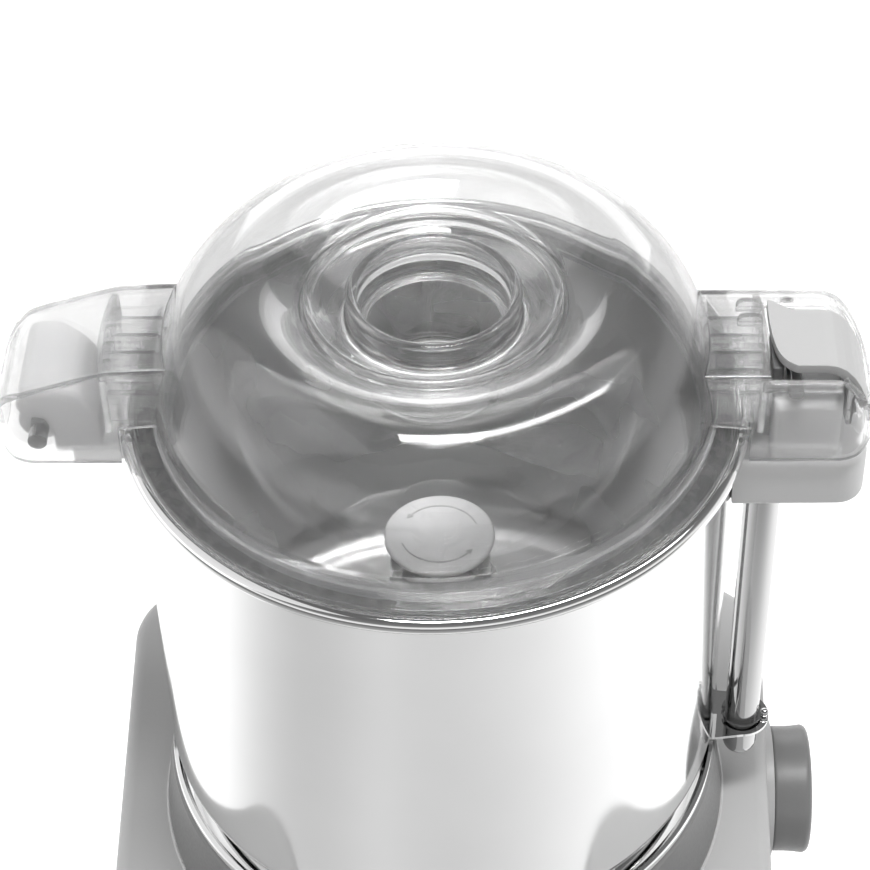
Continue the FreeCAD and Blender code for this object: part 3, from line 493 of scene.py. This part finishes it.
def funnel_profile():
    """Spout with a rolled mouth in a shallow dish whose beaded rim rests on the lid's seat, a thin feed
    cone with a beaded end below and a ledge inside that narrows the way in."""
    return np.concatenate([
        arc(0.0254, 0.4622, 0.0018, 180, 0, 12),
        np.array([(0.0268, 0.4604), (0.0267, 0.4572), (0.0270, 0.4560), (0.0278, 0.4556),
                  (0.0320, 0.4566), (0.0352, 0.4581), (0.0370, 0.4596)]),
        arc(0.0384, 0.4602, 0.0016, 190, -90, 16),
        np.array([(0.0372, 0.4577), (0.0340, 0.4556), (0.0300, 0.4541), (0.0276, 0.4534),
                  (0.0271, 0.4526)]),
        trumpet(0.0270, 0.4518, 0.0182, 0.4282),
        arc(0.0173, 0.4281, 0.0011, 20, -200, 9)[1:-1],
        trumpet(0.0238, 0.4484, 0.0164, 0.4282)[::-1],
        np.array([(0.0232, 0.4489), (0.0220, 0.4487)]),
        arc(0.0217, 0.4496, 0.0009, 270, 90, 9),
        np.array([(0.0226, 0.4505), (0.0233, 0.4508), (0.0236, 0.4516)])])


funnel = lathe("clear_funnel", funnel_profile(), 192, sharp=50)
dress(funnel, CLEAR_SPOUT, "funnel", ["feed_funnel"])

# wings of the lid; a side is -1 for the left one and 1 for the right one
TOP_LINES = {
    -1: ([0.080, 0.0873, 0.0989, 0.1080, 0.1162, 0.1230, 0.1284, 0.1320, 0.1347, 0.1362, 0.1372],
         [0.4489, 0.4486, 0.4479, 0.4453, 0.4425, 0.4403, 0.4380, 0.4350, 0.4306, 0.4262, 0.4200]),
    1: ([0.080, 0.1190, 0.1225, 0.1256, 0.1282, 0.1310, 0.1335, 0.1352, 0.1365, 0.1372],
        [0.4462, 0.4462, 0.4457, 0.4440, 0.4413, 0.4368, 0.4315, 0.4270, 0.4230, 0.4208])}
HEEL_HEIGHTS = {-1: 0.4170, 1: 0.4180}
WING_NODES = {-1: "lid_left_wing", 1: "lid_right_wing"}


def wing_top(x, side):
    """Height of a wing's top at |x|, straight between the points of its line: the left one falls slowly,
    the right one stays flat and turns down late."""
    return np.interp(x, *TOP_LINES[side])


def wing_bottom(x, side):
    """Lower edge of a wing: level, then a quarter circle of 7 mm up the outer end."""
    over = np.clip(x - (WING_OUT - WING_HEEL), 0, WING_HEEL - 0.0002)
    return HEEL_HEIGHTS[side] - np.sqrt(WING_HEEL ** 2 - over ** 2)


def start_radius(z):
    """Radius at which a wing begins: outside the rolled rim below the lip, and above it on the dome's
    quarter ellipse, less 0.4 mm."""
    rise = np.clip((z - DOME_FOOT) / (CREST_Z - DOME_FOOT), 0, 1)
    on_dome = CREST_R + (DOME_R - CREST_R) * np.sqrt(1 - rise ** 2) - 0.0004
    return np.where(z < LIP_TOP + 0.0006, 0.0999, on_dome)


def wing_grid(side):
    """Skin of a hollow wing as a grid. Along u it follows the plan outline from the dome round the outer end
    and back; along v it climbs the wall, turns over the rim in a quarter circle and crosses to the middle
    line."""
    half, out, corner, edge = WING_HALF, WING_OUT, WING_CORNER, WING_EDGE
    t = np.linspace(0, math.pi / 2, 12)
    run = np.linspace(0, 1, 22)
    flat = np.linspace(half - corner, -(half - corner), 12)[1:-1]
    py = np.concatenate([np.full(22, half), half - corner + corner * np.cos(t)[1:], flat,
                         -(half - corner + corner * np.cos(t))[::-1], np.full(21, -half)])
    nx = np.concatenate([np.zeros(22), np.sin(t)[1:], np.ones(len(flat)), np.sin(t)[::-1], np.zeros(21)])
    ny = np.concatenate([np.ones(22), np.cos(t)[1:], np.zeros(len(flat)), -np.cos(t)[::-1], -np.ones(21)])
    rim = edge * (1 - 0.6 * nx)

    def plan_x(z, y):
        start = math.sqrt(float(start_radius(z)) ** 2 - y * y)
        side_run = start + (out - corner - start) * run
        bend = out - corner + corner * np.sin(t)
        return np.concatenate([side_run, bend[1:], np.full(len(flat), out), bend[::-1], side_run[::-1][1:]])

    top_start = float(wing_top(0.082, side))
    foot = float(wing_bottom(0.1, side))
    rows = []
    for z in (foot, 0.4150, 0.4190, LIP_TOP + 0.0004, LIP_TOP + 0.0016, 0.4290, 0.4340, 0.4390,
              top_start - edge):
        px = plan_x(z, half)
        inner_x = px - rim * nx
        low = wing_bottom(px, side)
        share = (z - foot) / (top_start - edge - foot)
        rows.append(np.stack([px, py, low + (wing_top(inner_x, side) - rim - low) * share], -1))
    for a in np.linspace(0, math.pi / 2, 6)[1:]:
        px = plan_x(top_start - edge + edge * math.sin(a), half - edge * (1 - math.cos(a)))
        inner_x = px - rim * nx
        rows.append(np.stack([inner_x + rim * nx * math.cos(a), py - rim * ny * (1 - math.cos(a)),
                              wing_top(inner_x, side) - rim + rim * math.sin(a)], -1))
    for s in np.linspace(0, 1, 15)[1:]:
        px = plan_x(top_start, (half - edge) * (1 - s))
        inner_x = px - rim * nx
        spine_x = np.minimum(inner_x, out - corner - 0.004)
        x = inner_x + (spine_x - inner_x) * s
        rows.append(np.stack([x, (py - rim * ny) * (1 - s), wing_top(x, side)], -1))
    grid = np.array(rows)
    grid[..., 0] *= side
    return grid


def wing_cover(name, side, openings=()):
    """Clear hollow cover of one side of the lid, with its faces turned up and box shaped openings cut."""
    grid = wing_grid(side)
    rows, columns = grid.shape[:2]
    cover = lay_mesh(name, grid, grid_faces(rows, columns, wrap_columns=False), 50)
    highest = read_faces(cover.data, "center")[:, 2].argmax()
    if read_faces(cover.data, "normal")[highest, 2] < 0:
        cover.data.flip_normals()
    for low, high in openings:
        cut_box(cover, low, high)
    thicken(cover, WING_WALL, 0.0004, even=False)
    dress(cover, CLEAR_WING, "lid", [WING_NODES[side]])


wing_cover("left_wing_cover", -1)
wing_cover("right_wing_cover", 1, [((0.1024, -0.0178, 0.4302), (OPEN, 0.0136, OPEN)),
                                   ((0.1024, -OPEN, 0.4436), (OPEN, 0.0136, OPEN))])


def wing_web(name, side):
    """Curved wall about the bowl's axis with five rungs that run on to the dome."""
    a = math.asin(0.0195 / 0.102)
    t = np.linspace(-a, a, 30)
    way = np.stack([np.cos(t), np.sin(t)], -1)
    outline = np.concatenate([WEB_OUT * way, WEB_IN * way[::-1]])
    rows = [np.column_stack([inset_outline(outline, i) if i else outline, np.full(len(outline), z)])
            for z, i in pillow_levels(RIM + 0.0004, 0.4440, 0.0006, 3)]
    wall = np.array(rows)
    wall[..., 0] *= side
    pieces = [stack(name + "_wall", wall, 50)]
    for k in range(5):
        y = -0.016 + 0.008 * k
        inner = math.sqrt(0.0884 ** 2 - y * y)
        outer = math.sqrt(WEB_IN ** 2 - y * y) + 0.0004
        corners = [(inner, RIM + 0.0028, 0), (outer, RIM + 0.0028, 0), (outer, 0.4370, 0.0015),
                   (inner - 0.0022, 0.4370, 0.0008)]
        corners = [(side * x, z, r) for x, z, r in corners]
        pieces.append(slab(name + "_rung%d" % k, corners, y - 0.0008, y + 0.0008, 0.0004, "y", 3))
    dress(join(name, pieces), CLEAR_WING, "lid", [WING_NODES[side]])


wing_web("left_wing_web", -1)
wing_web("right_wing_web", 1)

# lever of the latch: its section lies flat on the wing's top, then curves down its outer end
LEVER_LINE = np.array([(0.1030, 0.4480), (0.1195, 0.4480), (0.1228, 0.4474), (0.1258, 0.4456),
                       (0.1284, 0.4426), (0.1306, 0.4388), (0.1324, 0.4346), (0.1338, 0.4303)])


def lever_grid():
    """Plate over the section. v runs from front to back and u from the soft inner edge to the outer end.
    The back edge has a horn beside the pivot, and the front corner is drawn back in a wide curve."""
    run = np.concatenate([[0], np.cumsum(np.linalg.norm(np.diff(LEVER_LINE, axis=0), axis=1))])
    u, v = np.meshgrid(np.linspace(0, 1, 60) ** 1.3, np.linspace(0, 1, 36), indexing="ij")
    length, front, back, end_round = run[-1], -0.0172, 0.0086, 0.0035
    share = np.clip((0.0037 - (front + (back - front) * v)) / 0.0209, 0, 1)
    begin = 0.0002 + 0.0030 * share ** 2 + 0.0045 * share ** 8
    s = begin + (length - begin) * u
    x, z = np.interp(s, run, LEVER_LINE[:, 0]), np.interp(s, run, LEVER_LINE[:, 1])
    horn = np.clip((0.1110 - x) / 0.0075, 0, 1)
    far = back + 0.0044 * horn ** 2 * (3 - 2 * horn)
    near_end = np.clip((s - (length - end_round)) / end_round, 0, 1)
    trim = end_round * (1 - np.sqrt(1 - near_end ** 2))
    y = front + trim + (far - front - 2 * trim) * v
    return np.stack([x, y, z], -1)


plate = lever_grid()
lever = lay_mesh("latch_lever_plate", plate, grid_faces(*plate.shape[:2], wrap_columns=False), 60)
if lever.data.polygons[0].normal.z < 0:
    lever.data.flip_normals()
thicken(lever, 0.0032, 0.0011, 50)
dress(lever, LEVER_GREY, "latch", ["latch_lever"])

hook = slab("latch_hook_arm", [(0.1273, 0.4392, 0.0004), (0.1273, 0.4195, 0.0010), (0.1290, 0.4138, 0.0010),
                               (0.1308, 0.4138, 0.0010), (0.1308, 0.4260, 0.0010), (0.1291, 0.4290, 0.0010),
                               (0.1291, 0.4372, 0.0004)], -0.0070, 0.0030, 0.0005, "y", 4)
dress(hook, DARK, "latch", ["latch_hook"])

# small trim of the right wing: rib on its front wall, a dark block beside the lever that is painted shade of
# the pocket there, ears of the pivot
rib = slab("wing_front_rib", [(0.1000, -0.0213, 0.0008), (0.1245, -0.0213, 0.0008),
                              (0.1245, -0.0188, 0.0008), (0.1000, -0.0188, 0.0008)],
           0.4398, 0.4437, 0.0008, "z", 3)
dress(rib, CLEAR_SKIRT, "lid")
pocket = slab("latch_pocket_shade", [(0.1037, -0.0125, 0.001), (0.1072, -0.0125, 0.001), (0.1072, 0.0045, 0.001),
                               (0.1037, 0.0045, 0.001)], 0.4335, 0.4425, 0.0006, "z", 3)
dress(pocket, POCKET_SHADE, "lid")
for k, (y0, y1) in enumerate(((0.0035, 0.0060), (0.0105, 0.0130))):
    ear = slab("pivot_ear%d" % k, [(0.0935, 0.4440, 0.0), (0.1015, 0.4440, 0.0), (0.1015, 0.4492, 0.0025),
                                   (0.0935, 0.4492, 0.0025)], y0, y1, 0.0005, "y", 5)
    dress(ear, CLEAR_WING, "lid")


# handles
def taper(obj, x0, x1, z0, z1, keep):
    """Narrows a body across y to the share keep, by one smooth step from x0 to x1 and one from z0 to z1."""
    points = read_points(obj.data)
    a = np.clip((points[:, 0] - x0) / (x1 - x0), 0, 1)
    b = np.clip((points[:, 2] - z0) / (z1 - z0), 0, 1)
    points[:, 1] *= 1 - (1 - keep) * (3 * a ** 2 - 2 * a ** 3) * (3 * b ** 2 - 2 * b ** 3)
    write_points(obj.data, points)


hump = slab("left_hump", [(-0.0952, 0.4066, 0.0), (-0.0952, 0.4146, 0.0016), (-0.1036, 0.4146, 0.001),
                          (-0.1044, 0.4236, 0.003), (-0.1092, 0.4322, 0.006), (-0.1172, 0.4366, 0.012),
                          (-0.1262, 0.4356, 0.005), (-0.1300, 0.4296, 0.004), (-0.1262, 0.4258, 0.003),
                          (-0.1208, 0.4250, 0.002), (-0.1186, 0.4190, 0.002), (-0.1186, 0.4114, 0.0018),
                          (-0.1134, 0.4114, 0.0008), (-0.1134, 0.4066, 0.0016)],
            -0.0162, 0.0162, 0.0014, "y", 7)
taper(hump, -0.1215, -0.1025, 0.4146, 0.4330, 0.72)
knuckle = lathe("left_knuckle", [(0.0032, -0.0110), (0.0066, -0.0110), (0.0072, -0.0104),
                                 (0.0072, 0.0104), (0.0066, 0.0110), (0.0032, 0.0110)],
                64, axis="y", at=(HINGE_X, 0.0, HINGE_Z))
dress(join("left_handle_body", [hump, knuckle]), HANDLE, "bowl", ["left_handle"])

grip = slab("right_grip", [(0.0935, -0.0185, 0.0), (0.1360, -0.0185, 0.009), (0.1360, 0.0185, 0.009),
                           (0.0935, 0.0185, 0.0)], 0.3884, 0.4084, 0.0026, "z", 8)
catch_posts = slab("right_catch", [(0.1046, -0.0155, 0.002), (0.1265, -0.0155, 0.004),
                                   (0.1265, 0.0155, 0.004), (0.1046, 0.0155, 0.002),
                                   (0.1046, 0.0082, 0.0018), (0.1132, 0.0082, 0.001),
                                   (0.1132, -0.0082, 0.001), (0.1046, -0.0082, 0.0018)],
                   0.4080, 0.4310, 0.0016, "z", 5)
dress(grip, GRIP, "bowl", ["right_handle"])
dress(catch_posts, HANDLE, "bowl", ["right_handle"])

# turn mark on the knife's cap
MARK_LEVELS = (0.35496, 0.35522)
MARK_IN, MARK_MIDDLE, MARK_OUT = 0.0128, 0.0131, 0.0134


def arc_strip(a0, a1):
    """Raised strip on a circle: four corner lines carried along the arc from a0 to a1 degrees."""
    t = np.radians(np.linspace(a0, a1, 40))[:, None]
    section_r = np.array([MARK_IN, MARK_OUT, MARK_OUT - 0.0001, MARK_IN + 0.0001])
    section_z = np.repeat(MARK_LEVELS, 2)
    return np.stack([section_r * np.cos(t), section_r * np.sin(t), section_z + 0 * t], -1)


def turn_mark():
    """Two arcs of 118 degrees with arrow heads on the cap, which show the way that the knife turns."""
    parts = []
    for k, start in enumerate((20, 200)):
        parts.append(stack("arc%d" % k, arc_strip(start, start + 118)))
        a = math.radians(start + 118)
        tangent = np.array([-math.sin(a), math.cos(a)])
        radial = np.array([math.cos(a), math.sin(a)])
        middle = MARK_MIDDLE * radial
        head = np.array([middle + tangent * 0.0022, middle + radial * 0.0012, middle - radial * 0.0012])
        levels = np.array([np.column_stack([head, np.full(3, z)]) for z in MARK_LEVELS])
        parts.append(stack("head%d" % k, levels))
    return join("cap_turn_mark", parts)


dress(turn_mark(), MARK_GREY, "blades")


# knob
def knob_profile():
    """Round knob: a waist of 0.6 mm behind a rounded front edge, and a shallow dish in the face."""
    return np.concatenate([
        np.array([(0.0, KNOB_BACK), (0.0215, KNOB_BACK)]),
        arc(0.0222, KNOB_BACK + 0.0012, 0.0012, -90, 0, 5),
        np.array([(0.0234, KNOB_BACK + 0.0050), (0.0236, KNOB_BACK + 0.0085)]),
        arc(0.0216, KNOB_FACE - 0.0024, 0.0024, 0, 90, 9),
        np.array([(0.0196, KNOB_FACE), (0.0184, KNOB_FACE - 0.0005), (0.0100, KNOB_FACE - 0.0008),
                  (0.0, KNOB_FACE - 0.0009)])])


def round_knob():
    """The turned knob with a raised bar across its face."""
    body = lathe("knob_body", knob_profile(), 144, closed=False, axis="x", at=(0, KNOB_Y, KNOB_Z))
    bar = slab("knob_bar", [(-0.0020, -0.0150, 0.0018), (0.0020, -0.0150, 0.0018),
                            (0.0020, 0.0192, 0.0018), (-0.0020, 0.0192, 0.0018)],
               KNOB_FACE - 0.0040, KNOB_FACE - 0.0001, 0.0009, "x", 4)
    write_points(bar.data, read_points(bar.data) + np.array([0, KNOB_Y, KNOB_Z]))
    return join("round_knob", [body, bar])


dress(round_knob(), KNOB, "knob", ["control_knob"])

# camera: focal length and optical centre in pixels of the square photograph
PHOTO_SIDE, FOCAL, CENTRE_X, CENTRE_Y, SENSOR = 870.0, 2647.8, 505.3, 390.2, 36.0
camera_data = bpy.data.cameras.new("photo_camera")
camera_data.sensor_width = SENSOR
camera_data.lens = FOCAL * SENSOR / PHOTO_SIDE
camera_data.shift_x = (PHOTO_SIDE / 2 - CENTRE_X) / PHOTO_SIDE
camera_data.shift_y = (CENTRE_Y - PHOTO_SIDE / 2) / PHOTO_SIDE
camera_data.clip_end = 20.0
camera = link_object("photo_camera", camera_data)
camera.location = (0.0218, -0.6069, 0.9913)
camera.rotation_euler = (math.radians(90 - 43.19), 0, 0)
bpy.context.scene.camera = camera


def add_light(name, place, size, power, aim=None, turn=0.0):
    """Soft rectangular lamp: aimed at a point, or facing down and turned by some degrees."""
    data = bpy.data.lights.new(name, "AREA")
    data.shape = "RECTANGLE"
    data.size, data.size_y = size
    data.energy = power
    lamp = link_object(name, data)
    lamp.location = place
    if aim is None:
        lamp.rotation_euler = (0, 0, math.radians(turn))
    else:
        lamp.rotation_euler = (Vector(aim) - Vector(place)).to_track_quat("-Z", "Y").to_euler()


add_light("left_softbox", (-1.15, 0.0, 1.25), (1.8, 1.8), 7.0, aim=(0, 0, 0.35))
add_light("back_softbox", (0.1, 1.7, 1.0), (1.8, 0.7), 9.0, aim=(0, 0, 0.4))
add_light("top_softbox", (0.04, -0.24, 1.70), (0.46, 0.22), 9.0, aim=(0.04, 0, 0.45))
for k, size in enumerate(((1.15, 0.06), (1.30, 0.14), (1.45, 0.24))):
    add_light("ceiling_strip%d" % k, (0.52, -0.06, 1.65 + 0.002 * k), size, 4.0, turn=30)

# world: white from below to a little over the horizon, dim grey overhead
world = bpy.data.worlds.new("studio")
bpy.context.scene.world = world
world.use_nodes = True
nodes, links = world.node_tree.nodes, world.node_tree.links
sky = nodes.new("ShaderNodeTexCoord")
split = nodes.new("ShaderNodeSeparateXYZ")
links.new(sky.outputs["Generated"], split.inputs["Vector"])
height = add_range(nodes, links, split.outputs["Z"], (-1.0, 1.0), (0.0, 1.0))
ramp = nodes.new("ShaderNodeValToRGB")
ramp.color_ramp.interpolation = "EASE"
shades = [(0.0, 1.0), (0.52, 1.0), (0.60, 0.85), (0.72, 0.20), (1.0, 0.13)]
for place, level in shades[1:-1]:
    ramp.color_ramp.elements.new(place)
for element, (place, level) in zip(ramp.color_ramp.elements, shades):
    element.position = place
    element.color = (level, level, level, 1)
links.new(height, ramp.inputs["Fac"])
links.new(ramp.outputs["Color"], nodes["Background"].inputs["Color"])
nodes["Background"].inputs["Strength"].default_value = 1.02
bpy.context.scene.view_settings.view_transform = "Standard"

# floor: pale, with painted light: it glows by emission that fades towards the front, and its colour darkens
# there and in a soft spot on the left as painted shade, which the bowl's wall reflects
corners = np.array([(-6, -6, 0), (6, -6, 0), (6, 6, 0), (-6, 6, 0)], float)
floor = lay_mesh("studio_floor", corners, [(0, 1, 2, 3)])
pale, nodes, links, shader, coords = new_material("floor_painted_glow_and_shade", Roughness=0.9, Specular_IOR_Level=0.0,
                                                  Emission_Color=(1, 1, 1, 1))
split = nodes.new("ShaderNodeSeparateXYZ")
links.new(coords, split.inputs["Vector"])
# soft spot on the left that pulls the floor's glow and colour down: painted shade for the bowl's wall to
# reflect
shade_spot = nodes.new("ShaderNodeVectorMath")
shade_spot.operation = "DISTANCE"
shade_spot.inputs[1].default_value = (-0.33, -0.16, 0.0)
links.new(coords, shade_spot.inputs[0])
depth = nodes.new("ShaderNodeMath")
depth.operation = "ADD"
links.new(split.outputs["Y"], depth.inputs[0])
shift = add_range(nodes, links, shade_spot.outputs["Value"], (0.06, 0.27), (-0.16, 0.0), smooth=True)
links.new(shift, depth.inputs[1])
# painted light and shade: the floor's emission and its base colour both fall towards the front and in the
# spot
glow = add_range(nodes, links, depth.outputs["Value"], (-0.50, 0.10), (0.02, 0.72), smooth=True)
tone = add_range(nodes, links, depth.outputs["Value"], (-0.55, 0.02), (0.34, 0.60), smooth=True)
links.new(glow, shader.inputs["Emission Strength"])
links.new(tone, shader.inputs["Base Color"])
floor.data.materials.append(pale)
